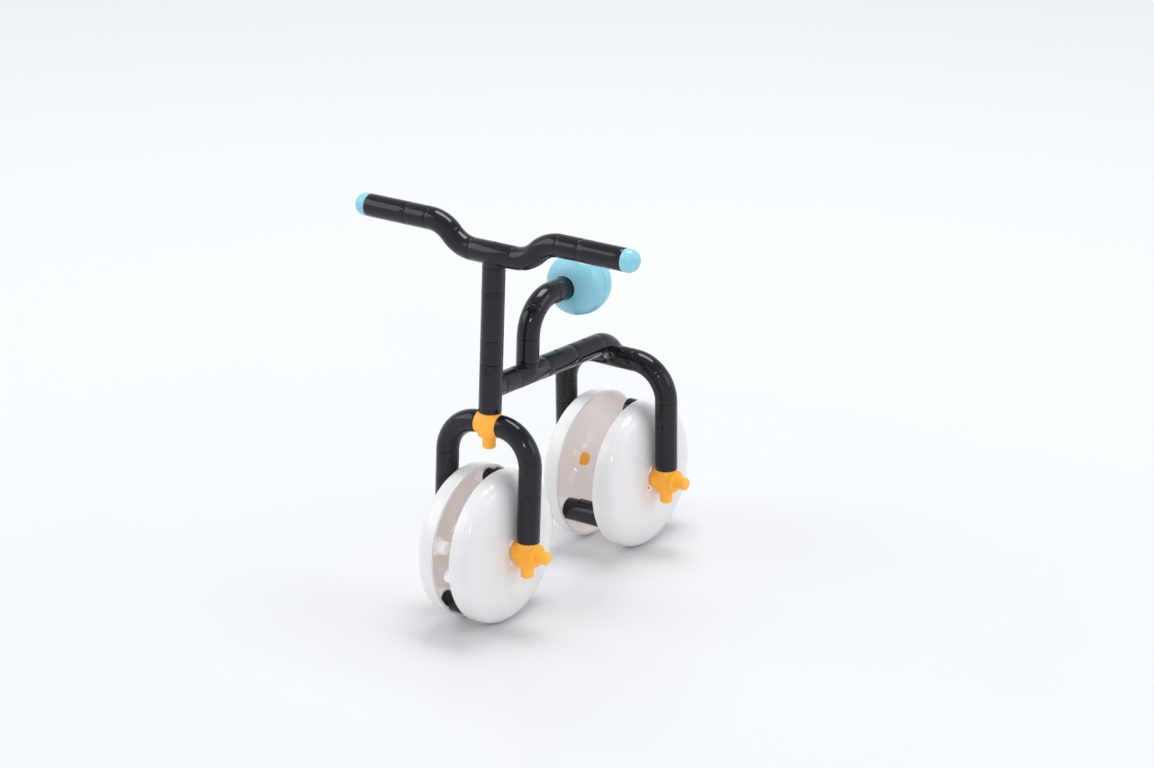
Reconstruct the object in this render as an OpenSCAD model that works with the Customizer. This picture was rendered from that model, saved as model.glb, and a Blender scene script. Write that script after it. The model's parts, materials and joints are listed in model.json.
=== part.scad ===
// Toy bicycle built from push-together pipe pieces.
// Millimetres. +Z is up, -Y is the front, X runs across the handlebar.
// Origin: on the floor, in the middle of the footprint.

/* [Pieces] */
// Length of one module, the grid every piece is built on
unit = 12; // [10:0.5:16]
// Outside diameter of the pipes, as a part of the module
pipe_ratio = 0.934; // [0.88:0.002:0.95]
// Diameter of the connecting pegs, as a part of the module
peg_ratio = 0.54; // [0.48:0.01:0.56]
// Radial clearance of a peg in its socket
peg_clearance = 0.05; // [0.03:0.01:0.08]

/* [Handlebar] */
// Stem height above the crown, in modules
stem_units = 7; // [6:1:9]
// Length of each grip, in modules
grip_units = 2; // [1.5:0.5:3]
// Length of the dome of a grip cap, as a part of the module
cap_length = 0.62; // [0.5:0.02:0.8]

/* [Frame] */
// Length of the fork and rear legs, in modules
leg_units = 5; // [5:1:6]

/* [Wheels] */
// Radius of the wheels, in modules
wheel_units = 3.14; // [3.1:0.02:3.3]
// Depth of one wheel shell, in modules
shell_depth = 1.05; // [0.9:0.05:1.15]
// Wall of a wheel shell
shell_wall = 1.5; // [1.2:0.1:2]
// Distance from the axle to the front wheel's spacers, in modules
front_radius = 2.6; // [2.5:0.02:2.6]
// Distance from the axle to the pegs and the rear spacers, in modules
spacer_radius = 2.5; // [2.4:0.02:2.5]
// Angle of the front wheel's lower spacer below its front
front_low = 55; // [50:1:65]
// Angle of the front wheel's upper spacer above its front
front_high = 116; // [105:1:125]
// Angle of the rear wheel's lower spacer below its front
rear_low = 33; // [25:1:40]
// Angle of the rear wheel's upper spacer above its front
rear_high = 112; // [105:1:125]

/* [Seat] */
// Radius of the seat, in modules
seat_radius = 1.3; // [1.1:0.02:1.4]
// Half of the seat's length, in modules
seat_half = 1.12; // [1:0.02:1.3]

/* [Hidden] */

u = unit;
pr = u * pipe_ratio / 2;
gr = u * peg_ratio / 2;
br = gr + peg_clearance;
peg = 0.5 * u;
pin = 0.48 * u;
sock = 0.53 * u;
// bend radius of every elbow, and the top tube's height above the crown
R = 1.5 * u;
tube_height_units = 1.5;
hub_h = 0.52 * u;
hub_z = 0.5 * u;
chin = 0.25;
run_gap = 0.15;
rw = wheel_units * u;
depth = shell_depth * u;

// rear cross tube, from the steering axis and the crown, in the leaning frame
ye = 7.5 * u;
cy = ye + (R + 0.5 * u) * sin(45);
cz = tube_height_units * u - R * (1 - cos(45)) - 0.5 * u * sin(45);
leg = leg_units * u;
// lean of the steering axis that puts both wheels on the floor
lean = acos(leg / sqrt(cy * cy + (cz + leg) * (cz + leg))) - atan2(cy, cz + leg);
lift = rw + leg * cos(lean);
front_y = -leg * sin(lean);
rear_y = cy * cos(lean) + cz * sin(lean);
shift = -(front_y + rear_y) / 2;
leg_f = R + hub_h;
leg_r = u + R;
s = 24;
sp = 28;

BLACK = [0.14, 0.15, 0.18];
ORANGE = [1.0, 0.66, 0.2];
WHITE = [0.96, 0.95, 0.93];
BLUE = [0.5, 0.8, 0.9];

// the leaning frame: z along the steering axis, origin at the crown
module lean() translate([0, shift, lift]) rotate([-lean, 0, 0]) children();
// upright legs below the rear cross tube
module rear() translate([0, shift + rear_y, lift - cy * sin(lean) + cz * cos(lean)]) children();

module mx(left) { if (left) mirror([1, 0, 0]) children(); else children(); }

// straight pipe from z = 0 to z = l, with a through bore
module pipe(l)
    rotate_extrude($fn = s)
        polygon([[br, 0], [pr - chin, 0], [pr, chin], [pr, l - chin], [pr - chin, l], [br, l]]);

// pipe bend: starts at the origin heading +z, bends towards +x
module bend(a) {
    difference() {
        translate([R, 0, 0]) rotate([90, 0, 180])
            rotate_extrude(angle = a, $fn = 72) translate([R, 0]) circle(r = pr, $fn = s);
        translate([0, 0, -0.01]) cylinder(r = br, h = a > 60 ? sock : 0.46 * u, $fn = s);
        translate([R, 0, 0]) rotate([0, a, 0]) translate([-R, 0, 0])
            translate([0, 0, -(a > 60 ? sock : 0.46 * u) + 0.01]) cylinder(r = br, h = a > 60 ? sock : 0.46 * u, $fn = s);
    }
}

// tee: run along x from -u to u, branch along +z
module tee(b = 0.5, run = 1) {
    difference() {
        union() {
            rotate([0, 90, 0]) translate([0, 0, -run * u]) rotate_extrude($fn = s)
                polygon([[0, 0], [pr - chin, 0], [pr, chin], [pr, 2 * run * u - chin], [pr - chin, 2 * run * u], [0, 2 * run * u]]);
            rotate_extrude($fn = s) polygon([[0, 0], [pr, 0], [pr, b * u - chin], [pr - chin, b * u], [0, b * u]]);
        }
        rotate([0, 90, 0]) translate([0, 0, -run * u - 1]) cylinder(r = br, h = 2 * run * u + 2, $fn = s);
        cylinder(r = br, h = b * u + 1, $fn = s);
    }
}

module peg(l = peg)
    rotate_extrude($fn = sp) polygon([[0, -1], [gr, -1], [gr, l - 0.7], [gr - 0.7, l], [0, l]]);

// orange hub: equal crossed cylinders with a peg on each face
module hub(up, down, out, inn, gap = 0) {
    rotate([0, 90, 0]) cylinder(r = pr, h = 2 * hub_h, center = true, $fn = 32);
    translate([0, 0, -hub_z]) cylinder(r = pr - 0.1, h = 2 * hub_z - gap, $fn = 32);
    translate([0, 0, hub_z - gap]) peg(up);
    translate([0, 0, -hub_z]) rotate([180, 0, 0]) peg(down);
    if (out > 0) translate([hub_h, 0, 0]) rotate([0, 90, 0]) peg(out);
    translate([-hub_h, 0, 0]) rotate([0, -90, 0]) peg(inn);
}

// joiner pin hidden in two sockets, centred on the origin along z
module joiner(l = 2 * pin) rotate_extrude($fn = s)
    polygon([[0, -l / 2], [gr - 0.5, -l / 2], [gr, -l / 2 + 0.5], [gr, l / 2 - 0.5], [gr - 0.5, l / 2], [0, l / 2]]);
module joiner_x(l = 2 * pin) rotate([0, 90, 0]) joiner(l);
module joiner_y(l = 2 * pin) rotate([90, 0, 0]) joiner(l);

// ---------- handlebar ----------
zt = stem_units * u;
sx = 2 * R * sin(45);
sz = 2 * R * (1 - cos(45));
module bar(left) lean() translate([0, 0, zt]) mx(left) children();

module bar_elbow_in(left) color(BLACK) bar(left)
    translate([u, 0, 0]) rotate([0, 90, 0]) rotate([0, 0, 180]) bend(45);
module bar_elbow_out(left) color(BLACK) bar(left)
    translate([u + sx, 0, sz]) rotate([0, -90, 0]) rotate([0, 0, 180]) bend(45);
module bar_tube(left) color(BLACK) bar(left)
    translate([u + sx, 0, sz]) rotate([0, 90, 0]) pipe(u);
module grip(left) color(BLACK) bar(left)
    translate([2 * u + sx, 0, sz]) rotate([0, 90, 0]) pipe(grip_units * u);
module grip_cap(left) color(BLUE) bar(left)
    translate([(2 + grip_units) * u + sx, 0, sz]) rotate([0, 90, 0])
        rotate_extrude($fn = s) polygon(concat(
            [[0, -0.45 * u], [gr - 0.4, -0.45 * u], [gr, -0.45 * u + 0.4], [gr, 0], [pr - 0.3, 0]],
            [for (i = [0:6]) let (a = i * 90 / 6)
                [pr * cos(a), 0.16 * u + (cap_length - 0.16) * u * sin(a)]]));
module bar_tee() color(BLACK) lean() translate([0, 0, zt]) rotate([180, 0, 0]) tee();
module stem(z0, l) color(BLACK) lean() translate([0, 0, z0]) pipe(l);
module stem_tube_upper() stem(zt - 1.5 * u, u);
module stem_tube_middle() stem(3.5 * u, zt - 5 * u);
module stem_tube_lower() stem(2.5 * u + run_gap, u - run_gap);
module bar_joiners() color(BLACK) lean() {
    for (z = [zt - 0.5 * u, zt - 1.5 * u, 3.5 * u, 2.5 * u]) translate([0, 0, z]) joiner(0.96 * u);
    for (m = [0, 1]) translate([0, 0, zt]) mx(m) {
        translate([u, 0, 0]) joiner_x(0.88 * u);
        translate([u + sx / 2, 0, sz / 2]) rotate([0, 45, 0]) joiner(0.8 * u);
        translate([u + sx, 0, sz]) joiner_x(0.88 * u);
        translate([2 * u + sx, 0, sz]) joiner_x();
    }
}

// ---------- frame ----------
zh = tube_height_units * u;
module head_tee() color(BLACK) lean() translate([0, 0, zh]) rotate([0, -90, -90]) tee();
module along_y(y) lean() translate([0, y, zh]) rotate([-90, 0, 0]) children();
module top_tube_front() color(BLACK) along_y(0.5 * u) pipe(u);
module seat_tee() color(BLACK) lean() translate([0, 2.5 * u, zh]) rotate([0, 0, 90]) tee();
module top_tube_middle() color(BLACK) along_y(3.5 * u) pipe(2 * u);
module top_tube_rear() color(BLACK) along_y(5.5 * u) pipe(2 * u);
module drop_elbow() color(BLACK) along_y(7.5 * u) rotate([0, 0, 90]) bend(45);
module rear_cross_tee() color(BLACK) lean() translate([0, cy, cz]) rotate([45, 0, 0]) tee();
module rear_elbow_in(left) color(BLACK) rear() mx(left)
    translate([u, 0, 0]) rotate([0, 90, 0]) bend(45);
module rear_elbow_out(left) color(BLACK) rear() mx(left)
    translate([u + R, 0, -R]) rotate([0, 0, 180]) bend(45);
module rear_leg(left, z, l) color(BLACK) rear() mx(left) translate([leg_r, 0, z - l]) pipe(l);
module rear_leg_upper(left) rear_leg(left, -R, u);
module rear_leg_lower(left) rear_leg(left, -R - u, leg - R - u - hub_z);
module rear_hub(left) color(ORANGE) rear() mx(left) translate([leg_r, 0, -leg]) hub(pin, peg, left ? 0 : peg, peg);
module frame_joiners() color(BLACK) {
    lean() translate([0, 0, zh]) {
        for (y = [0.5, 1.5, 3.5, 5.5]) translate([0, y * u + (y < 1 ? 0.17 * u : 0), 0]) joiner_y(y < 1 ? 0.6 * u : 0.96 * u);
        translate([0, 7.5 * u, 0]) joiner_y(0.88 * u);
    }
    lean() translate([0, cy, cz]) rotate([45, 0, 0]) translate([0, 0, 0.5 * u]) joiner(0.6 * u);
    for (m = [0, 1]) rear() mx(m) {
        translate([u, 0, 0]) joiner_x(0.88 * u);
        translate([u + R * sin(45), 0, -R * (1 - cos(45))]) rotate([0, 45, 0]) joiner_x(0.8 * u);
        translate([leg_r, 0, -R]) joiner(0.88 * u);
        translate([leg_r, 0, -R - u]) joiner();
    }
}

// ---------- seat ----------
module post() lean() translate([0, 2.5 * u, zh]) children();
module seat_post() color(BLACK) post() translate([0, 0, 0.5 * u + run_gap]) pipe(u - run_gap);
module seat_elbow_lower() color(BLACK) post() translate([0, 0, 1.5 * u]) rotate([0, 0, 90]) bend(45);
module seat_elbow_upper() color(BLACK) post() translate([0, R, 1.5 * u + R]) rotate([90, 0, 0])
    rotate([0, 0, -90]) bend(45);
module seat_neck() color(BLACK) post() translate([0, R, 1.5 * u + R]) rotate([-90, 0, 0]) pipe(u);
function seat_r(t) = seat_radius * u * pow(max(0, 1 - pow(abs(t), 2.5)), 0.4);
sn = 9;
module seat_front() color(BLUE) post() translate([0, 3.5 * u, 1.5 * u + R]) rotate([-90, 0, 0])
    rotate_extrude($fn = 40) polygon(concat(
        [[br, -u], [pr + 0.4, -u], [pr + 0.4, -0.94 * seat_half * u]],
        [for (i = [0:sn]) let (t = -sin(72 - 72 * i / sn)) [seat_r(t), t * seat_half * u]],
        [[seat_r(0) - 1.8, 0], [seat_r(0) - 3.2, -0.45 * u], [pr + 2, -0.72 * u], [br, -0.72 * u]]));
module seat_rear() color(BLUE) post() translate([0, 3.5 * u, 1.5 * u + R]) rotate([-90, 0, 0])
    rotate_extrude($fn = 40) polygon(concat(
        [[seat_r(0) - 1.8, 0]],
        [for (i = [0:sn]) let (t = sin(90 * i / sn)) [i == sn ? 0 : seat_r(t) + (i == 0 ? 0.25 : 0.1), t * seat_half * u]],
        [[0, seat_half * u - 1.8], [seat_r(0.6) - 2, 0.55 * seat_half * u]]));
module seat_joiners() color(BLACK) post() {
    translate([0, 0, 0.77 * u + run_gap / 2]) joiner(0.9 * u);
    translate([0, 0, 1.5 * u]) translate([0, 0, 0.08 * u]) joiner(0.72 * u);
    translate([0, R * (1 - cos(45)), 1.5 * u + R * sin(45)]) rotate([-45, 0, 0]) joiner(0.8 * u);
    translate([0, R, 1.5 * u + R]) joiner_y(0.88 * u);
    translate([0, R + u, 1.5 * u + R]) joiner_y(0.5 * u);
}

// ---------- fork ----------
module crown_hub() color(ORANGE) lean() hub(peg, peg, pin, pin, run_gap);
module fork_elbow(left) color(BLACK) lean() mx(left) translate([hub_h, 0, 0]) rotate([0, 90, 0]) bend(90);
module fork_leg(left, z, l) color(BLACK) lean() mx(left) translate([leg_f, 0, z - l]) pipe(l);
module fork_leg_upper(left) fork_leg(left, -R, u);
module fork_leg_lower(left) fork_leg(left, -R - u, leg - R - u - hub_z);
module front_hub(left) color(ORANGE) lean() mx(left) translate([leg_f, 0, -leg]) hub(pin, peg, peg, peg);
module fork_joiners() color(BLACK) lean() for (m = [0, 1]) mx(m) {
    translate([leg_f, 0, -R]) joiner(); translate([leg_f, 0, -R - u]) joiner();
}

// ---------- wheels ----------
function dome(t) = pow(max(0, 1 - pow(t, 4.5)), 1 / 4.5);
wn = 8;
// shell: axis x, apex at x = a on the right, open towards -x
module shell(a) {
    x0 = a - depth;
    difference() {
        rotate([0, 90, 0]) rotate_extrude($fn = 56) polygon(concat(
            [for (i = [0:wn]) let (t = [0, 0.3, 0.5, 0.65, 0.76, 0.85, 0.92, 0.975, 1][i])
                [i == wn ? br + 0.02 : rw * dome(t), x0 + depth * t]],
            [[br + 0.02, a - 3.4], [br + 1.8, a - 3.4], [br + 1.8, a - shell_wall]],
            [for (i = [wn - 1:-1:0]) let (t = [0, 0.3, 0.5, 0.65, 0.76, 0.85, 0.92, 0.975, 1][i])
                [max(br + 4, (rw - shell_wall) * dome(t)), x0 + (depth - shell_wall) * t]]));
        for (k = [0:3]) rotate([45 + 90 * k, 0, 0]) translate([a, 0, br + 3.4]) cube([12, 4.2, 1.4], center = true);
    }
}
// what the shell encloses, for trimming the posts behind its skin
module shell_inside(a) {
    x0 = a - depth;
    rotate([0, 90, 0]) rotate_extrude($fn = 56) polygon(concat(
        [[0, x0 - u]], [[rw - 0.7, x0 - u]],
        [for (i = [0:wn]) let (t = [0, 0.3, 0.5, 0.65, 0.76, 0.85, 0.92, 0.975, 1][i])
            [(rw - 0.7) * dome(t), x0 + (depth - 0.7) * t]]));
}
// post standing inward from the shell: a boss and then a peg, or a socket where tip is 0
module wheel_post(a, ang, rho, boss, tip)
    rotate([-ang, 0, 0]) translate([a, -rho * u, 0]) rotate([0, -90, 0])
        rotate_extrude($fn = s) polygon(tip > 0
            ? [[0, 0], [gr + 1.2, 0], [gr + 1.2, boss], [gr, boss], [gr, tip - 0.6], [gr - 0.6, tip], [0, tip]]
            : [[0, 0], [gr + 1.2, 0], [gr + 1.2, boss], [br, boss], [br, boss - 2.6], [0, boss - 2.6]]);
// right shell with its posts, each [angle, distance, boss height, tip height]
module shell_with_posts(a, posts) {
    shell(a);
    intersection() {
        shell_inside(a);
        union() for (p = posts) wheel_post(a, p[0], p[1], p[2], p[3]);
    }
}
front_apex = leg_f - hub_h - 0.35;
rear_apex = leg_r - hub_h - 0.35;
full = depth + 0.36 * u;
low_boss = depth - 0.15 * u;
neck = 0.42 * u;
module front_axle() lean() translate([0, 0, -leg]) children();
module rear_axle() rear() translate([0, 0, -leg]) children();
module front_shell(left) color(WHITE) front_axle() mx(left)
    shell_with_posts(front_apex, left
        ? [[-front_low, front_radius, depth - neck - 0.4, 0], [front_high, front_radius, depth - neck - 0.4, 0],
           [9, spacer_radius, low_boss, depth + 0.27 * u], [189, spacer_radius, low_boss, depth + 0.27 * u]]
        : [[-front_low, front_radius, depth, full], [front_high, front_radius, depth, full],
           [-18, spacer_radius, low_boss, depth + 0.6 * u], [162, spacer_radius, low_boss, depth + 0.6 * u]]);
module rear_shell(left) color(WHITE) rear_axle() mx(left)
    shell_with_posts(rear_apex, left
        ? [[-rear_low, spacer_radius, depth - 1.5, full], [222, spacer_radius, depth, full]]
        : [[-rear_low, spacer_radius, depth, full], [rear_high, spacer_radius, depth, full], [222, spacer_radius, depth, full]]);
module at_post(x, ang, rho) rotate([-ang, 0, 0]) translate([x, -rho * u, 0]) rotate([0, 90, 0]) children();
// front spacer: a socket for the right shell's peg, a neck and a peg for the left shell's socket
module front_spacer(ang) color(BLACK) front_axle() {
    x0 = front_apex - depth - 0.1;
    l = 2 * x0;
    at_post(-x0, ang, front_radius) rotate_extrude($fn = s)
        polygon([[0, -neck - 2.4], [gr - 0.4, -neck - 2.4], [gr, -neck - 2], [gr, -neck], [0.33 * u, -neck], [0.33 * u, 0],
            [pr - chin, 0], [pr, chin], [pr, l - chin], [pr - chin, l], [br, l], [br, l - 0.4 * u], [0, l - 0.4 * u]]);
}
// rear spacer from x = xa to the right shell
module rear_spacer(xa, ang) color(BLACK) rear_axle()
    at_post(xa, ang, spacer_radius) pipe(rear_x0 - xa);
rear_x0 = rear_apex - depth - 0.1;
module rear_spacer_low() color(BLACK) rear_axle() difference() {
    union() {
        at_post(-rear_x0 - 1.5, -rear_low, spacer_radius) pipe(2 * rear_x0 + 1.5);
        // raised key along the top
        translate([-0.47 * u, -spacer_radius * u * cos(rear_low) - 1.5, -spacer_radius * u * sin(rear_low) + pr - 0.6]) cube([0.9 * u, 3, 1.3]);
    }
    at_post(-rear_x0 - 2, -rear_low, spacer_radius) cylinder(r = br, h = 3 * rear_x0, $fn = s);
}

bar_tee();
bar_elbow_in(true);  // bar_elbow_l_in
bar_elbow_out(true);  // bar_elbow_l_out
bar_elbow_in(false);  // bar_elbow_r_in
bar_elbow_out(false);  // bar_elbow_r_out
bar_tube(true);  // bar_tube_l
bar_tube(false);  // bar_tube_r
grip(true);  // grip_l
grip(false);  // grip_r
grip_cap(true);  // grip_cap_l
grip_cap(false);  // grip_cap_r
stem_tube_upper();
stem_tube_middle();
stem_tube_lower();
bar_joiners();
head_tee();
top_tube_front();
seat_tee();
top_tube_middle();
top_tube_rear();
drop_elbow();
rear_cross_tee();
rear_elbow_in(true);  // rear_elbow_l_in
rear_elbow_out(true);  // rear_elbow_l_out
rear_elbow_in(false);  // rear_elbow_r_in
rear_elbow_out(false);  // rear_elbow_r_out
rear_leg_upper(true);  // rear_leg_l_upper
rear_leg_lower(true);  // rear_leg_l_lower
rear_leg_upper(false);  // rear_leg_r_upper
rear_leg_lower(false);  // rear_leg_r_lower
rear_hub(true);  // rear_hub_l
rear_hub(false);  // rear_hub_r
frame_joiners();
seat_post();
seat_elbow_lower();
seat_elbow_upper();
seat_neck();
seat_front();
seat_rear();
seat_joiners();
crown_hub();
fork_elbow(true);  // fork_elbow_l
fork_elbow(false);  // fork_elbow_r
fork_leg_upper(true);  // fork_leg_l_upper
fork_leg_lower(true);  // fork_leg_l_lower
fork_leg_upper(false);  // fork_leg_r_upper
fork_leg_lower(false);  // fork_leg_r_lower
front_hub(true);  // front_hub_l
front_hub(false);  // front_hub_r
fork_joiners();
front_shell(true);  // front_shell_l
front_shell(false);  // front_shell_r
front_spacer(-front_low);  // front_spacer_low
front_spacer(front_high);  // front_spacer_high
rear_shell(true);  // rear_shell_l
rear_shell(false);  // rear_shell_r
rear_spacer_low();
rear_spacer(0, rear_high);  // rear_spacer_high
rear_spacer(-rear_x0, 222);  // rear_spacer_back
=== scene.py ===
import json
import math
import bpy
import bmesh
from mathutils import Matrix, Vector


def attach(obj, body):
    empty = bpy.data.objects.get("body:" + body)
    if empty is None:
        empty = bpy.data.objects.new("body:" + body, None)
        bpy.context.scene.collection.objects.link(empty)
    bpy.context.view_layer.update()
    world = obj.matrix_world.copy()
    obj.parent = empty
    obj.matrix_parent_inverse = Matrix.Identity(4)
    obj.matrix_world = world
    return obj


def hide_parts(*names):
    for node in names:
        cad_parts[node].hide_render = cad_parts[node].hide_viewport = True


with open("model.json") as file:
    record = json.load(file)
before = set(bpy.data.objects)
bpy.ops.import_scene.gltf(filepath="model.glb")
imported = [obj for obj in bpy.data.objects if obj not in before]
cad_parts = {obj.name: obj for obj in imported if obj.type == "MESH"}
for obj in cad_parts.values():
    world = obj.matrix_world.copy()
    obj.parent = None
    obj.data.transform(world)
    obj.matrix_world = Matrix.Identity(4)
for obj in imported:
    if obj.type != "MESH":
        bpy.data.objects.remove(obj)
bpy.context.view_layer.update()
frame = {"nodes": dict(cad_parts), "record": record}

# ---------------------------------------------------------------- sizes, in millimetres, as the CAD has them
U = 12.0
PR = U * 0.934 / 2
GR = U * 0.54 / 2
BR = GR + 0.05
R = 1.5 * U
HUB = 0.52 * U
HUBZ = 0.5 * U
GAP = 0.15
LEG = 5 * U
RW = 3.14 * U
DEPTH = 1.05 * U
WALL = 1.5
F_RHO = 2.6 * U
RHO = 2.5 * U
NECK = 0.42 * U
C45 = math.cos(math.pi / 4)
CY = 7.5 * U + (R + 0.5 * U) * C45
CZ = 1.5 * U - R * (1 - C45) - 0.5 * U * C45
LEAN = math.acos(LEG / math.hypot(CY, CZ + LEG)) - math.atan2(CY, CZ + LEG)
LIFT = RW + LEG * math.cos(LEAN)
FY = -LEG * math.sin(LEAN)
RY = CY * math.cos(LEAN) + CZ * math.sin(LEAN)
SHIFT = -(FY + RY) / 2
LEG_F = R + HUB
LEG_R = U + R
ZT = 7 * U
ZH = 1.5 * U
SX = 2 * R * C45
SZ = 2 * R * (1 - C45)


def T(x, y, z):
    return Matrix.Translation((x, y, z))


def RX(d):
    return Matrix.Rotation(math.radians(d), 4, "X")


def RYM(d):
    return Matrix.Rotation(math.radians(d), 4, "Y")


def RZ(d):
    return Matrix.Rotation(math.radians(d), 4, "Z")


MIR = Matrix.Diagonal((-1, 1, 1, 1))
ONE = Matrix.Identity(4)
MM = Matrix.Scale(0.001, 4)
LN = T(0, SHIFT, LIFT) @ Matrix.Rotation(-LEAN, 4, "X")
RR = T(0, SHIFT + RY, LIFT - CY * math.sin(LEAN) + CZ * math.cos(LEAN))


# ---------------------------------------------------------------- mesh code
def lathe(prof, n=72, close=True):
    """Solid turned about z from a closed outline of (radius, z)."""
    bm = bmesh.new()
    rings = []
    for r, z in prof:
        if r < 1e-6:
            rings.append([bm.verts.new((0, 0, z))])
        else:
            rings.append([bm.verts.new((r * math.cos(2 * math.pi * k / n), r * math.sin(2 * math.pi * k / n), z)) for k in range(n)])
    m = len(rings)
    for i in range(m if close else m - 1):
        a, b = rings[i], rings[(i + 1) % m]
        if len(a) == 1 and len(b) == 1:
            continue
        for k in range(n):
            k2 = (k + 1) % n
            if len(a) == 1:
                bm.faces.new((a[0], b[k2], b[k]))
            elif len(b) == 1:
                bm.faces.new((a[k], a[k2], b[0]))
            else:
                bm.faces.new((a[k], a[k2], b[k2], b[k]))
    bmesh.ops.recalc_face_normals(bm, faces=bm.faces)
    return bm


def lip(r, z, way_r, way_z, c=0.28, n=3):
    """Rounded corner of radius c at (r, z): from the side face to the end face."""
    return [(r - way_r * c * (1 - math.cos(math.pi / 2 * i / n)), z - way_z * c * (1 - math.sin(math.pi / 2 * i / n))) for i in range(n + 1)]


def tube_prof(l, rb=BR, c=0.28):
    low = [(r, l - z) for r, z in lip(PR, l, 1, 1, c)]
    return [(rb, 0)] + low[::-1] + [(PR, l * k / 6) for k in range(1, 6)] + lip(PR, l, 1, 1, c) + [(rb, l)]


def pipe(l):
    return lathe(tube_prof(l))


def rod_prof(l, r, tip=0.7, start=-1.0):
    return [(0, start), (r, start)] + [(r - tip * (1 - math.cos(math.pi / 2 * i / 4)), l - tip + tip * math.sin(math.pi / 2 * i / 4)) for i in range(5)] + [(0, l)]


def bend(a, n=64, m=None):
    """Pipe bend: starts at the origin heading +z and bends towards +x."""
    m = m or max(10, int(a / 3))
    bm = bmesh.new()
    c = 0.28 / R

    def ring(t, r):
        return [bm.verts.new(((R - (R + r * math.cos(2 * math.pi * k / n)) * math.cos(t)), r * math.sin(2 * math.pi * k / n),
                              (R + r * math.cos(2 * math.pi * k / n)) * math.sin(t))) for k in range(n)]
    end = math.radians(a)
    st = [(c * (1 - math.sin(math.pi / 2 * i / 3)), PR - 0.28 * (1 - math.cos(math.pi / 2 * i / 3))) for i in (3, 2, 1, 0)]
    out = [(t, r) for t, r in st] + [(c + (end - 2 * c) * k / m, PR) for k in range(1, m)] + [(end - t, r) for t, r in st[::-1]]
    inn = [(end - end * k / m, BR) for k in range(m + 1)]
    rings = [ring(t, r) for t, r in out + inn]
    for i in range(len(rings)):
        A, B = rings[i], rings[(i + 1) % len(rings)]
        for k in range(n):
            bm.faces.new((A[k], A[(k + 1) % n], B[(k + 1) % n], B[k]))
    bmesh.ops.recalc_face_normals(bm, faces=bm.faces)
    return bm


def to_obj(bm, name="tmp", mat=None):
    if mat is not None:
        bm.transform(mat)
        if mat.determinant() < 0:
            bmesh.ops.reverse_faces(bm, faces=bm.faces)
    me = bpy.data.meshes.new(name)
    bm.to_mesh(me)
    bm.free()
    ob = bpy.data.objects.new(name, me)
    bpy.context.scene.collection.objects.link(ob)
    return ob


def combine(base, op, *others):
    """base joined with, or cut by, the other solids."""
    for other in others:
        md = base.modifiers.new("b", "BOOLEAN")
        md.operation = op
        md.solver = "EXACT"
        md.object = other
        dg = bpy.context.evaluated_depsgraph_get()
        me = bpy.data.meshes.new_from_object(base.evaluated_get(dg), depsgraph=dg)
        base.modifiers.clear()
        old = base.data
        base.data = me
        bpy.data.meshes.remove(old)
        om = other.data
        bpy.data.objects.remove(other)
        bpy.data.meshes.remove(om)
    return base


def take(ob):
    bm = bmesh.new()
    bm.from_mesh(ob.data)
    me = ob.data
    bpy.data.objects.remove(ob)
    bpy.data.meshes.remove(me)
    bmesh.ops.remove_doubles(bm, verts=bm.verts, dist=1e-4)
    bmesh.ops.dissolve_degenerate(bm, edges=bm.edges, dist=1e-4)
    return bm


def finish_mesh(bm, sharp=38):
    bm.normal_update()
    lim = math.radians(sharp)
    for f in bm.faces:
        f.smooth = True
    for e in bm.edges:
        e.smooth = not (len(e.link_faces) == 2 and e.calc_face_angle(0) > lim)


def piece(name, bm, place, body, mat, node=None, side=None, sharp=38):
    """A finished piece standing for the CAD node of the same name."""
    m = MM @ place
    bm.transform(m)
    if m.determinant() < 0:
        bmesh.ops.reverse_faces(bm, faces=bm.faces)
    finish_mesh(bm, sharp)
    me = bpy.data.meshes.new("look_" + name)
    bm.to_mesh(me)
    bm.free()
    ob = bpy.data.objects.new("look_" + name, me)
    bpy.context.scene.collection.objects.link(ob)
    me.materials.append(mat)
    if side is not None:
        me.materials.append(side[0])
        for p in me.polygons:
            if side[1](p):
                p.material_index = 1
    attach(ob, body)
    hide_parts(node or name)
    return ob


def box_bm(sx, sy, sz, c=0.0):
    bm = bmesh.new()
    bmesh.ops.create_cube(bm, size=1, matrix=Matrix.Diagonal((sx, sy, sz, 1)))
    if c:
        bmesh.ops.bevel(bm, geom=list(bm.edges), offset=c, segments=3, affect="EDGES", profile=0.5)
    return bm


def tee(tab=None):
    """Run along x from -U to U, branch along +z to U / 2, bored through."""
    a = to_obj(lathe([(0, -U)] + [(r, -z) for r, z in lip(PR, U, 1, 1)[::-1]] + lip(PR, U, 1, 1) + [(0, U)], 96), mat=RYM(90))
    b = to_obj(lathe([(0, 0)] + [(PR - 0.02, 0)] + lip(PR - 0.02, U / 2, 1, 1) + [(0, U / 2)], 96))
    a = combine(a, "UNION", b)
    a = combine(a, "DIFFERENCE", to_obj(lathe([(0, -U - 1), (BR, -U - 1), (BR, U + 1), (0, U + 1)], 48), mat=RYM(90)),
                to_obj(lathe([(0, 0), (BR, 0), (BR, U / 2 + 1), (0, U / 2 + 1)], 48)))
    if tab is not None:
        a = combine(a, "DIFFERENCE", to_obj(box_bm(1.5, 1.7, 1.0, 0.3), mat=tab))
    return take(a)


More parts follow.
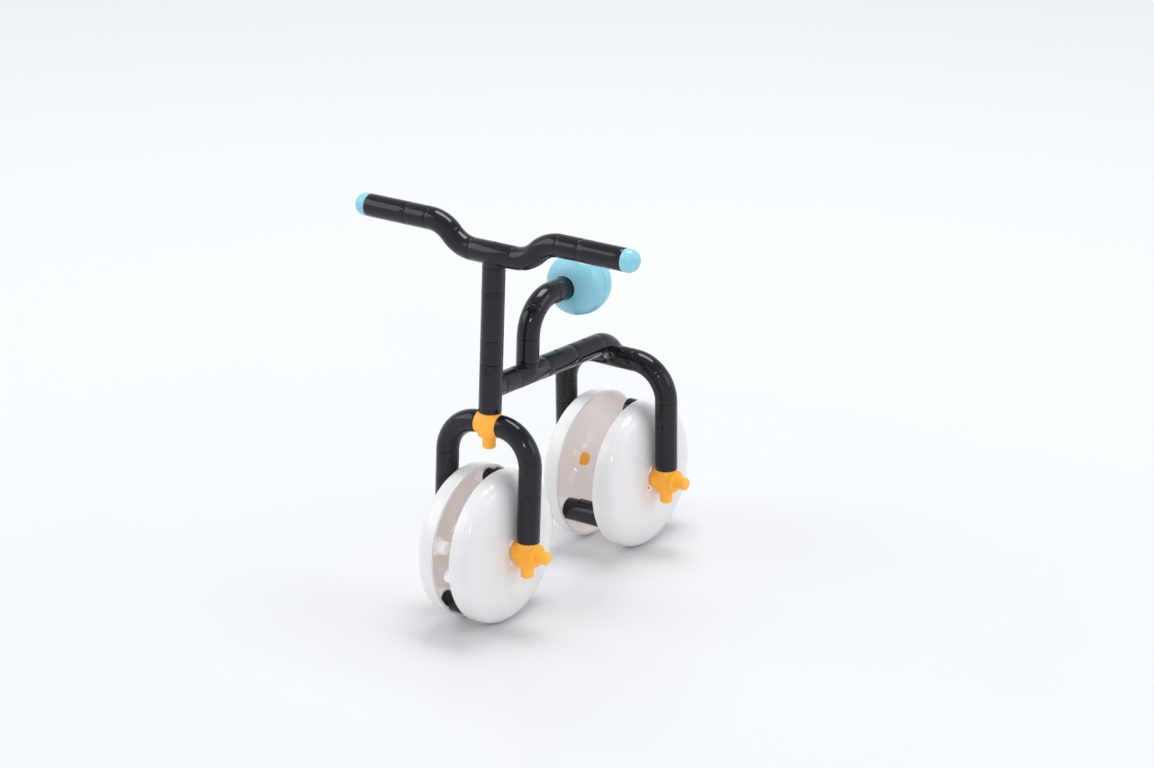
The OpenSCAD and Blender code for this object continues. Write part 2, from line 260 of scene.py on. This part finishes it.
def hub(up, down, out, inn, gap=0.0):
    """Equal crossed cylinders with rounded rims and a peg on each face."""
    a = to_obj(lathe([(0, -HUB)] + [(r, -z) for r, z in lip(PR, HUB, 1, 1, 0.45, 4)[::-1]] + lip(PR, HUB, 1, 1, 0.45, 4) + [(0, HUB)], 96), mat=RYM(90))
    top = HUBZ - gap
    b = to_obj(lathe([(0, -HUBZ)] + [(r, -z) for r, z in lip(PR - 0.1, HUBZ, 1, 1, 0.45, 4)[::-1]] + lip(PR - 0.1, top, 1, 1, 0.45, 4) + [(0, top)], 96))
    a = combine(a, "UNION", b)
    for l, m in ((up, T(0, 0, top)), (down, T(0, 0, -HUBZ) @ RX(180)), (out, T(HUB, 0, 0) @ RYM(90)), (inn, T(-HUB, 0, 0) @ RYM(-90))):
        if not l:
            continue
        # a small rounded foot where the peg stands on its face
        p = rod_prof(l, GR, 1.0)
        p = p[:1] + [(GR + 0.3, -1.0)] + [(GR + 0.3 * (1 - math.sin(math.pi / 2 * k / 4)), 0.3 * (1 - math.cos(math.pi / 2 * k / 4))) for k in range(5)] + p[2:]
        a = combine(a, "UNION", to_obj(lathe(p, 64), mat=m))
    return take(a)


def dome(t):
    return max(0.0, 1 - t ** 4.5) ** (1 / 4.5)


def shell(a, posts):
    """Right wheel shell, x along the axle, apex at x = a, open towards -x. Posts: angle, distance, boss, tip (0: socket)."""
    x0 = a - DEPTH
    ts = [math.sin(math.pi / 2 * k / 26) for k in range(27)]
    ts = [t for t in ts if t < 0.999]
    rim = [(RW, x0 + 0.3), (RW - 0.1, x0 + 0.08), (RW - 0.35, x0)]
    outer = [(RW * dome(t), x0 + DEPTH * t) for t in ts if RW * dome(t) > 9 and t > 0.03]
    flat = [(RW * dome(0.9994), a - 0.004), (BR + 0.42, a - 0.002), (BR + 0.12, a - 0.12), (BR + 0.02, a - 0.4)]
    boss = [(BR + 0.02, a - 3.2), (BR + 0.2, a - 3.4), (BR + 1.6, a - 3.4), (BR + 1.8, a - 3.2), (BR + 1.8, a - WALL)]
    step_r = 0.845 * (RW - WALL)
    inner = [(max(BR + 4, (RW - WALL) * dome(t)), x0 + (DEPTH - WALL) * t) for t in ts[::-1]]
    ring = []
    done = False
    for r, x in inner:
        if r > step_r - 1.2 and not done:
            # raised ring moulded round the floor
            ring += [(step_r - 1.1, x - 0.02), (step_r - 0.9, x - 0.5), (step_r + 0.1, x - 0.62), (step_r + 0.4, x - 0.5)]
            done = True
        if not (step_r - 1.2 < r < step_r + 0.55):
            ring.append((r, x))
    prof = rim[::-1][:1] + rim[::-1][1:] + outer + flat + boss + ring + [(RW - WALL, x0 + 0.25), (RW - WALL + 0.25, x0)]
    prof = [(r, x) for r, x in prof]
    ob = to_obj(lathe(prof, 144), mat=RYM(90))
    for k in range(4):
        ob = combine(ob, "DIFFERENCE", to_obj(box_bm(12, 4.2, 1.4, 0.45), mat=RX(45 + 90 * k) @ T(a, 0, BR + 3.4)))
    env_p = [(0, x0 - U), (RW - 0.7, x0 - U)] + [((RW - 0.7) * dome(t), x0 + (DEPTH - 0.7) * t) for t in ts] + [(0, a - 0.7)]
    for ang, rho, b, tip in posts:
        p = [(0, 0), (GR + 1.2, 0)] + lip(GR + 1.2, b, 1, 1, 0.3)
        if tip:
            p += [(GR + 0.25, b), (GR + 0.07, b + 0.07), (GR, b + 0.25)]
            p += [(GR - 0.8 * (1 - math.cos(math.pi / 2 * i / 4)), tip - 0.8 + 0.8 * math.sin(math.pi / 2 * i / 4)) for i in range(5)] + [(0, tip)]
        else:
            p += [(BR + 0.2, b), (BR, b - 0.2), (BR, b - 2.6), (0, b - 2.6)]
        post = to_obj(lathe(p, 56), mat=RX(-ang) @ T(a, -rho, 0) @ RYM(-90))
        post = combine(post, "INTERSECT", to_obj(lathe(env_p, 144), mat=RYM(90)))
        ob = combine(ob, "UNION", post)
    return take(ob)


def front_spacer():
    """Socket for the right shell's peg, then a neck and a peg for the left shell's socket."""
    l = 2 * (F_APEX - DEPTH - 0.1)
    nr = 0.33 * U
    prof = [(0, -NECK - 2.4), (GR - 0.4, -NECK - 2.4), (GR, -NECK - 2), (GR, -NECK), (nr - 0.2, -NECK), (nr, -NECK + 0.2), (nr, -0.2), (nr + 0.2, 0)]
    prof += [(r, l - z) for r, z in lip(PR, l, 1, 1)][::-1] + lip(PR, l, 1, 1) + [(BR, l), (BR, l - 0.4 * U), (0, l - 0.4 * U)]
    return lathe(prof, 96)


# ---------------------------------------------------------------- materials
def nt(name):
    m = bpy.data.materials.new(name)
    m.use_nodes = True
    t = m.node_tree
    b = next(n for n in t.nodes if n.type == "BSDF_PRINCIPLED")
    return m, t, b


def moulded(name, dark, light, rough, spread, bump, fine=900.0, coarse=70.0, coat=0.0, sss=0.0, sss_col=None, ior=1.5, speck=0.0, warm=None):
    """Moulded plastic: faint flow marks in the colour, uneven polish and fine orange peel."""
    m, t, b = nt(name)
    N, L = t.nodes, t.links
    tc = N.new("ShaderNodeTexCoord")
    n1 = N.new("ShaderNodeTexNoise")
    n1.inputs["Scale"].default_value = coarse
    n1.inputs["Detail"].default_value = 5
    n1.inputs["Distortion"].default_value = 0.6
    L.new(tc.outputs["Object"], n1.inputs["Vector"])
    ramp = N.new("ShaderNodeValToRGB")
    ramp.color_ramp.elements[0].position = 0.32
    ramp.color_ramp.elements[1].position = 0.7
    ramp.color_ramp.elements[0].color = (*dark, 1)
    ramp.color_ramp.elements[1].color = (*light, 1)
    L.new(n1.outputs["Fac"], ramp.inputs["Fac"])
    col = ramp.outputs["Color"]
    # painted highlight: convex edges a touch lighter, standing in for the light that catches along edges
    geo = N.new("ShaderNodeNewGeometry")
    edge_highlight_ramp = N.new("ShaderNodeValToRGB")
    edge_highlight_ramp.color_ramp.elements[0].position = 0.52
    edge_highlight_ramp.color_ramp.elements[1].position = 0.62
    L.new(geo.outputs["Pointiness"], edge_highlight_ramp.inputs["Fac"])
    mix = N.new("ShaderNodeMix")
    mix.data_type = "RGBA"
    mix.inputs["B"].default_value = (*[min(1, c * 1.25 + 0.02) for c in light], 1)
    k = N.new("ShaderNodeMath")
    k.operation = "MULTIPLY"
    k.inputs[1].default_value = 0.5
    L.new(edge_highlight_ramp.outputs["Color"], k.inputs[0])
    L.new(k.outputs[0], mix.inputs["Factor"])
    L.new(col, mix.inputs["A"])
    L.new(mix.outputs["Result"], b.inputs["Base Color"])
    # uneven polish
    n2 = N.new("ShaderNodeTexNoise")
    n2.inputs["Scale"].default_value = coarse * 3
    n2.inputs["Detail"].default_value = 6
    L.new(tc.outputs["Object"], n2.inputs["Vector"])
    mr = N.new("ShaderNodeMapRange")
    mr.inputs["From Min"].default_value = 0.3
    mr.inputs["From Max"].default_value = 0.7
    mr.inputs["To Min"].default_value = rough
    mr.inputs["To Max"].default_value = rough + spread
    L.new(n2.outputs["Fac"], mr.inputs["Value"])
    L.new(mr.outputs["Result"], b.inputs["Roughness"])
    # orange peel and slow waviness
    n3 = N.new("ShaderNodeTexNoise")
    n3.inputs["Scale"].default_value = fine
    n3.inputs["Detail"].default_value = 3
    L.new(tc.outputs["Object"], n3.inputs["Vector"])
    n4 = N.new("ShaderNodeTexNoise")
    n4.inputs["Scale"].default_value = coarse * 1.4
    n4.inputs["Detail"].default_value = 1
    L.new(tc.outputs["Object"], n4.inputs["Vector"])
    b1 = N.new("ShaderNodeBump")
    b1.inputs["Strength"].default_value = bump
    b1.inputs["Distance"].default_value = 0.00005
    L.new(n3.outputs["Fac"], b1.inputs["Height"])
    b2 = N.new("ShaderNodeBump")
    b2.inputs["Strength"].default_value = bump
    b2.inputs["Distance"].default_value = 0.00035
    L.new(n4.outputs["Fac"], b2.inputs["Height"])
    L.new(b1.outputs["Normal"], b2.inputs["Normal"])
    L.new(b2.outputs["Normal"], b.inputs["Normal"])
    b.inputs["IOR"].default_value = ior
    b.inputs["Coat Weight"].default_value = coat
    b.inputs["Coat Roughness"].default_value = 0.06
    if sss:
        b.inputs["Subsurface Weight"].default_value = sss
        b.inputs["Subsurface Radius"].default_value = sss_col or (1, 0.6, 0.4)
        b.inputs["Subsurface Scale"].default_value = 0.0015
    return m


BLACK = moulded("black_plastic", (0.0070, 0.0078, 0.0105), (0.0098, 0.0107, 0.0145), 0.085, 0.05, 0.10, ior=1.45)
ORANGE = moulded("orange_plastic", (1.0, 0.42, 0.030), (1.0, 0.47, 0.042), 0.27, 0.1, 0.2, sss=0.12, sss_col=(1, 0.4, 0.08))
WHITE = moulded("white_plastic", (0.80, 0.795, 0.80), (0.84, 0.835, 0.835), 0.10, 0.05, 0.08, coarse=40.0, sss=0.10, sss_col=(1, 0.75, 0.6), ior=1.5)
# inside of the shells: the same white plastic; its warmer, darker tint is painted shade and warm light bounced inside
# the shell
INSIDE = moulded("white_plastic_inside", (0.83, 0.775, 0.75), (0.87, 0.815, 0.79), 0.34, 0.12, 0.2, coarse=55.0, sss=0.2, sss_col=(1, 0.7, 0.5))
# painted glow: the inside emits a little, standing in for light coming through the thin wall
shade = next(n for n in INSIDE.node_tree.nodes if n.type == "BSDF_PRINCIPLED")
shade.inputs["Emission Color"].default_value = (1.0, 0.955, 0.945, 1)
shade.inputs["Emission Strength"].default_value = 0.10
shade = next(n for n in BLACK.node_tree.nodes if n.type == "BSDF_PRINCIPLED")
shade.inputs["Specular IOR Level"].default_value = 0.42
# posts in the shells: the same white plastic with a painted glow, lifting them out of the shade inside the shell
POSTS_WHITE = moulded("white_plastic_posts", (0.82, 0.815, 0.81), (0.86, 0.855, 0.85), 0.14, 0.06, 0.08, coarse=40.0, sss=0.15, sss_col=(1, 0.75, 0.6))
shade = next(n for n in POSTS_WHITE.node_tree.nodes if n.type == "BSDF_PRINCIPLED")
shade.inputs["Emission Color"].default_value = (1.0, 0.98, 0.97, 1)
shade.inputs["Emission Strength"].default_value = 0.13
# painted glow: the orange parts emit a little so they read brighter, also where they sit in shade
shade = next(n for n in ORANGE.node_tree.nodes if n.type == "BSDF_PRINCIPLED")
shade.inputs["Emission Color"].default_value = (1.0, 0.42, 0.035, 1)
shade.inputs["Emission Strength"].default_value = 0.08
BLUE = moulded("blue_plastic", (0.245, 0.575, 0.69), (0.275, 0.615, 0.725), 0.16, 0.08, 0.12, sss=0.10, sss_col=(0.4, 0.8, 1.0))
for name, ob in frame["nodes"].items():
    s = next((p["material_slot"] for p in frame["record"]["subparts"] if p["node"] == name), "black")
    mat = {"black": BLACK, "orange": ORANGE, "white": WHITE, "blue": BLUE}[s]
    ob.data.materials.clear()
    ob.data.materials.append(mat)

# ---------------------------------------------------------------- handlebar
TAB = RX(0)
HB = "handlebar"
bar = LN @ T(0, 0, ZT)
piece("bar_tee", tee(tab=T(0.4, 0, -PR + 0.2)), bar @ RX(180), HB, BLACK)
for s, side in ((ONE, "r"), (MIR, "l")):
    piece("bar_elbow_%s_in" % side, bend(45), bar @ s @ T(U, 0, 0) @ RYM(90) @ RZ(180), HB, BLACK)
    piece("bar_elbow_%s_out" % side, bend(45), bar @ s @ T(U + SX, 0, SZ) @ RYM(-90) @ RZ(180), HB, BLACK)
    piece("bar_tube_" + side, pipe(U), bar @ s @ T(U + SX, 0, SZ) @ RYM(90), HB, BLACK)
    piece("grip_" + side, pipe(2 * U), bar @ s @ T(2 * U + SX, 0, SZ) @ RYM(90), HB, BLACK)
    cap = [(0, -0.45 * U), (GR - 0.4, -0.45 * U), (GR, -0.45 * U + 0.4), (GR, 0), (PR - 0.3, 0), (PR - 0.09, 0.09), (PR, 0.3)]
    cap += [(PR * math.cos(math.pi / 2 * i / 20), 0.16 * U + 0.46 * U * math.sin(math.pi / 2 * i / 20)) for i in range(21)]
    cap[-1] = (0, cap[-1][1])
    piece("grip_cap_" + side, lathe(cap, 80), bar @ s @ T(4 * U + SX, 0, SZ) @ RYM(90), HB, BLUE)
for name, z, l in (("upper", ZT - 1.5 * U, U), ("middle", 3.5 * U, 2 * U), ("lower", 2.5 * U + GAP, U - GAP)):
    piece("stem_tube_" + name, pipe(l), LN @ T(0, 0, z), HB, BLACK)

# ---------------------------------------------------------------- frame
FR = "frame"
piece("head_tee", tee(), LN @ T(0, 0, ZH) @ RZ(-90) @ RYM(-90) @ ONE, FR, BLACK)
along = lambda y: LN @ T(0, y, ZH) @ RX(-90)
piece("top_tube_front", pipe(U), along(0.5 * U), FR, BLACK)
piece("seat_tee", tee(), LN @ T(0, 2.5 * U, ZH) @ RZ(90), FR, BLACK)
for name, y in (("middle", 3.5), ("rear", 5.5)):
    t = to_obj(pipe(2 * U))
    t = combine(t, "DIFFERENCE", to_obj(box_bm(1.7, 1.0, 1.5, 0.3), mat=T(0, -PR + 0.2, U)))
    piece("top_tube_" + name, take(t), along(y * U), FR, BLACK)
piece("drop_elbow", bend(45), along(7.5 * U) @ RZ(90), FR, BLACK)
piece("rear_cross_tee", tee(), LN @ T(0, CY, CZ) @ RX(45), FR, BLACK)
for s, side in ((ONE, "r"), (MIR, "l")):
    piece("rear_elbow_%s_in" % side, bend(45), RR @ s @ T(U, 0, 0) @ RYM(90), FR, BLACK)
    piece("rear_elbow_%s_out" % side, bend(45), RR @ s @ T(U + R, 0, -R) @ RZ(180), FR, BLACK)
    piece("rear_leg_%s_upper" % side, pipe(U), RR @ s @ T(LEG_R, 0, -R - U), FR, BLACK)
    l = LEG - R - U - HUBZ
    piece("rear_leg_%s_lower" % side, pipe(l), RR @ s @ T(LEG_R, 0, -R - U - l), FR, BLACK)
    piece("rear_hub_" + side, hub(0.48 * U, 0.5 * U, 0.5 * U if side == "r" else 0, 0.5 * U), RR @ s @ T(LEG_R, 0, -LEG), FR, ORANGE)

# ---------------------------------------------------------------- seat
ST = "seat"
post = LN @ T(0, 2.5 * U, ZH)
piece("seat_post", pipe(U - GAP), post @ T(0, 0, 0.5 * U + GAP), ST, BLACK)
piece("seat_elbow_lower", bend(45), post @ T(0, 0, 1.5 * U) @ RZ(90), ST, BLACK)
piece("seat_elbow_upper", bend(45), post @ T(0, R, 1.5 * U + R) @ RX(90) @ RZ(-90), ST, BLACK)
piece("seat_neck", pipe(U), post @ T(0, R, 1.5 * U + R) @ RX(-90), ST, BLACK)
SR, SH = 1.3 * U, 1.12 * U


def seat_r(t):
    return SR * max(0.0, 1 - abs(t) ** 2.5) ** 0.4


fr = [(BR, -U), (PR + 0.4, -U), (PR + 0.4, -0.955 * SH)]
t0 = math.radians(74)
fr += [(seat_r(-math.sin(t0 - t0 * i / 26)), -math.sin(t0 - t0 * i / 26) * SH) for i in range(27)]
fr[3] = (fr[3][0], fr[3][1])
fr[-1] = (SR - 0.12, -0.02)
fr += [(SR - 1.8, 0), (SR - 3.2, -0.45 * U), (PR + 2, -0.72 * U), (BR, -0.72 * U)]
piece("seat_front", lathe(fr, 96), post @ T(0, 3.5 * U, 1.5 * U + R) @ RX(-90), ST, BLUE)
rr = [(SR - 1.8, 0), (SR + 0.05, 0), (SR + 0.2, 0.14)]
rr += [(seat_r(math.sin(math.pi / 2 * i / 28)) + 0.1 + 0.1 * (1 - i / 28), math.sin(math.pi / 2 * i / 28) * SH) for i in range(1, 28)] + [(0, SH)]
rr += [(0, SH - 1.8), (seat_r(0.6) - 2, 0.55 * SH)]
seat = to_obj(lathe(rr, 96))
# finger notch in the rear half's lip, underneath
seat = combine(seat, "DIFFERENCE", to_obj(box_bm(2.2, 1.0, 1.6, 0.35), mat=RZ(0) @ T(0, SR + 0.2, 0.3)))
piece("seat_rear", take(seat), post @ T(0, 3.5 * U, 1.5 * U + R) @ RX(-90), ST, BLUE)

# ---------------------------------------------------------------- fork
FK = "fork"
piece("crown_hub", hub(0.5 * U, 0.5 * U, 0.48 * U, 0.48 * U, GAP), LN, FK, ORANGE)
for s, side in ((ONE, "r"), (MIR, "l")):
    piece("fork_elbow_" + side, bend(90), LN @ s @ T(HUB, 0, 0) @ RYM(90), FK, BLACK)
    piece("fork_leg_%s_upper" % side, pipe(U), LN @ s @ T(LEG_F, 0, -R - U), FK, BLACK)
    l = LEG - R - U - HUBZ
    piece("fork_leg_%s_lower" % side, pipe(l), LN @ s @ T(LEG_F, 0, -R - U - l), FK, BLACK)
    piece("front_hub_" + side, hub(0.48 * U, 0.5 * U, 0.5 * U, 0.5 * U), LN @ s @ T(LEG_F, 0, -LEG), FK, ORANGE)

# ---------------------------------------------------------------- wheels
FA = LN @ T(0, 0, -LEG)
RA = RR @ T(0, 0, -LEG)
F_APEX = LEG_F - HUB - 0.35
R_APEX = LEG_R - HUB - 0.35


# faces on a shell's inner wall and floor, away from the posts, rim and axle bore: these take the inside material with
# its painted shade and glow
def inside_test(axle, posts, apex):
    inv = (MM @ axle).inverted()

    def test(p):
        c = inv @ p.center
        n = (inv.to_3x3() @ p.normal).normalized()
        x = abs(c.x)
        rho = math.hypot(c.y, c.z)
        t = (x - (apex - DEPTH)) / DEPTH
        lim = (RW - WALL * 0.5) * dome(min(1, max(0, t))) if t > 0 else RW - WALL * 0.5
        if rho < BR + 0.3:
            return False
        on_post = x < apex - DEPTH + 0.02 or any((math.hypot(c.y + r * math.cos(math.radians(g)), c.z - r * math.sin(math.radians(g))) < GR + 1.3) for g, r, _, _ in posts)
        return rho < lim - 0.05 and x < apex - 0.75 and not on_post and not (t > 0 and rho > RW - 1.2)
    return test


FULL = DEPTH + 0.36 * U
LOW = DEPTH - 0.15 * U
POSTS = {
    "front_r": [(-55, F_RHO, DEPTH, FULL), (116, F_RHO, DEPTH, FULL), (-18, RHO, LOW, DEPTH + 0.6 * U), (162, RHO, LOW, DEPTH + 0.6 * U)],
    "front_l": [(-55, F_RHO, DEPTH - NECK - 0.4, 0), (116, F_RHO, DEPTH - NECK - 0.4, 0), (9, RHO, LOW, DEPTH + 0.27 * U), (189, RHO, LOW, DEPTH + 0.27 * U)],
    "rear_r": [(-33, RHO, DEPTH, FULL), (112, RHO, DEPTH, FULL), (222, RHO, DEPTH, FULL)],
    "rear_l": [(-33, RHO, DEPTH - 1.5, FULL), (222, RHO, DEPTH, FULL)],
}
for s, side in ((ONE, "r"), (MIR, "l")):
    for end, axle, apex in (("front", FA, F_APEX), ("rear", RA, R_APEX)):
        ps = POSTS[end + "_" + side]
        ob = piece(end + "_shell_" + side, shell(apex, ps), axle @ s, end + "_wheel", WHITE, side=(INSIDE, inside_test(axle, ps, apex)))
        ob.data.materials.append(POSTS_WHITE)
        # faces on and round the posts take the glowing post material (painted light)
        inv = (MM @ axle).inverted()
        for p in ob.data.polygons:
            c = inv @ p.center
            near = any(math.hypot(c.y + r * math.cos(math.radians(g)), c.z - r * math.sin(math.radians(g))) < GR + 1.3 for g, r, _, _ in ps)
            if near and abs(c.x) < apex - DEPTH + 8.5:
                p.material_index = 2
for name, ang in (("low", -55), ("high", 116)):
    piece("front_spacer_" + name, front_spacer(), FA @ RX(-ang) @ T(-(F_APEX - DEPTH - 0.1), -F_RHO, 0) @ RYM(90), "front_wheel", BLACK)
RX0 = R_APEX - DEPTH - 0.1
low = to_obj(pipe(2 * RX0 + 1.5), mat=RX(33) @ T(-RX0 - 1.5, -RHO, 0) @ RYM(90))
c33, s33 = math.cos(math.radians(33)), math.sin(math.radians(33))
low = combine(low, "UNION", to_obj(box_bm(0.9 * U, 3, 1.3, 0.2), mat=T(-0.02 * U, -RHO * c33, -RHO * s33 + PR + 0.05)))
piece("rear_spacer_low", take(low), RA, "rear_wheel", BLACK)
piece("rear_spacer_high", pipe(RX0), RA @ RX(-112) @ T(0, -RHO, 0) @ RYM(90), "rear_wheel", BLACK)
if "rear_spacer_back" in frame["nodes"]:
    piece("rear_spacer_back", pipe(2 * RX0), RA @ RX(-222) @ T(-RX0, -RHO, 0) @ RYM(90), "rear_wheel", BLACK)

# ---------------------------------------------------------------- floor, light and camera
fm, ft, fb = nt("floor")
fn = ft.nodes.new("ShaderNodeTexNoise")
fn.inputs["Scale"].default_value = 3
fr_ = ft.nodes.new("ShaderNodeValToRGB")
fr_.color_ramp.elements[0].color = (0.75, 0.757, 0.771, 1)
fr_.color_ramp.elements[1].color = (0.765, 0.772, 0.785, 1)
ft.links.new(fn.outputs["Fac"], fr_.inputs["Fac"])
# the sweep stays even away from the lamps: paler with distance from the middle
ftc = ft.nodes.new("ShaderNodeTexCoord")
fl = ft.nodes.new("ShaderNodeVectorMath")
fl.operation = "LENGTH"
ft.links.new(ftc.outputs["Object"], fl.inputs[0])
far = ft.nodes.new("ShaderNodeMapRange")
far.inputs["From Min"].default_value = 0.25
far.inputs["From Max"].default_value = 1.25
far.inputs["To Min"].default_value = 0.0
far.inputs["To Max"].default_value = 1.0
ft.links.new(fl.outputs["Value"], far.inputs["Value"])
fmix = ft.nodes.new("ShaderNodeMix")
fmix.data_type = "RGBA"
fmix.inputs["B"].default_value = (0.93, 0.935, 0.948, 1)
ft.links.new(far.outputs["Result"], fmix.inputs["Factor"])
ft.links.new(fr_.outputs["Color"], fmix.inputs["A"])
ft.links.new(fmix.outputs["Result"], fb.inputs["Base Color"])
fb.inputs["Roughness"].default_value = 0.42
fb.inputs["Specular IOR Level"].default_value = 0.35
bm = bmesh.new()
bmesh.ops.create_grid(bm, x_segments=8, y_segments=8, size=9)
me = bpy.data.meshes.new("floor")
bm.to_mesh(me)
bm.free()
floor = bpy.data.objects.new("floor", me)
bpy.context.scene.collection.objects.link(floor)
me.materials.append(fm)

world = bpy.data.worlds.new("studio")
world.use_nodes = True
bpy.context.scene.world = world
wt = world.node_tree
bg = wt.nodes["Background"] if "Background" in wt.nodes else wt.nodes.new("ShaderNodeBackground")
tc = wt.nodes.new("ShaderNodeTexCoord")
sep = wt.nodes.new("ShaderNodeSeparateXYZ")
ramp = wt.nodes.new("ShaderNodeValToRGB")
ramp.color_ramp.elements[0].position = 0.0
ramp.color_ramp.elements[0].color = (0.945, 0.955, 0.985, 1)
ramp.color_ramp.elements[1].position = 0.75
ramp.color_ramp.elements[1].color = (0.44, 0.455, 0.48, 1)
wt.links.new(tc.outputs["Generated"], sep.inputs["Vector"])
wt.links.new(sep.outputs["Z"], ramp.inputs["Fac"])
wt.links.new(ramp.outputs["Color"], bg.inputs["Color"])
bg.inputs["Strength"].default_value = 1.09


def lamp(name, az, el, dist, sx, sy, power, col=(1, 1, 1), at=(0, 0, 0.09)):
    d = bpy.data.lights.new(name, "AREA")
    d.shape = "RECTANGLE"
    d.size, d.size_y = sx, sy
    d.energy = power
    d.color = col
    o = bpy.data.objects.new(name, d)
    a, e = math.radians(az), math.radians(el)
    v = Vector((math.sin(a) * math.cos(e), -math.cos(a) * math.cos(e), math.sin(e)))
    o.location = Vector(at) + v * dist
    o.rotation_euler = (-v).to_track_quat("-Z", "Y").to_euler()
    bpy.context.scene.collection.objects.link(o)
    return o


lamp("overhead_softbox", -170, 76, 1.3, 0.75, 0.55, 10.5)
lamp("left_fill", -55, 34, 2.2, 1.5, 1.2, 11)
lamp("camera_side", 33, 31, 1.9, 0.16, 0.16, 3.2)
lamp("right_fill", 110, 30, 2.4, 1.2, 1.2, 7)

cam = bpy.data.cameras.new("camera")
cam.sensor_width = 36
cam.lens = 112.154
cam.clip_end = 50
co = bpy.data.objects.new("camera", cam)
right = Vector((0.8244790368330732, 0.5657857457171304, -0.01099125862304488))
up = Vector((-0.19769774439544927, 0.30618112147388166, 0.9312189445634943))
back = right.cross(up)
m = Matrix((right, up, back)).transposed().to_4x4()
m.translation = Vector((0.9365458942901646, -1.3303242410087375, 0.7371071313331242))
co.matrix_world = m
bpy.context.scene.collection.objects.link(co)
bpy.context.scene.camera = co
bpy.context.scene.view_settings.view_transform = "Standard"
bpy.context.scene.view_settings.look = "None"

bpy.context.view_layer.update()
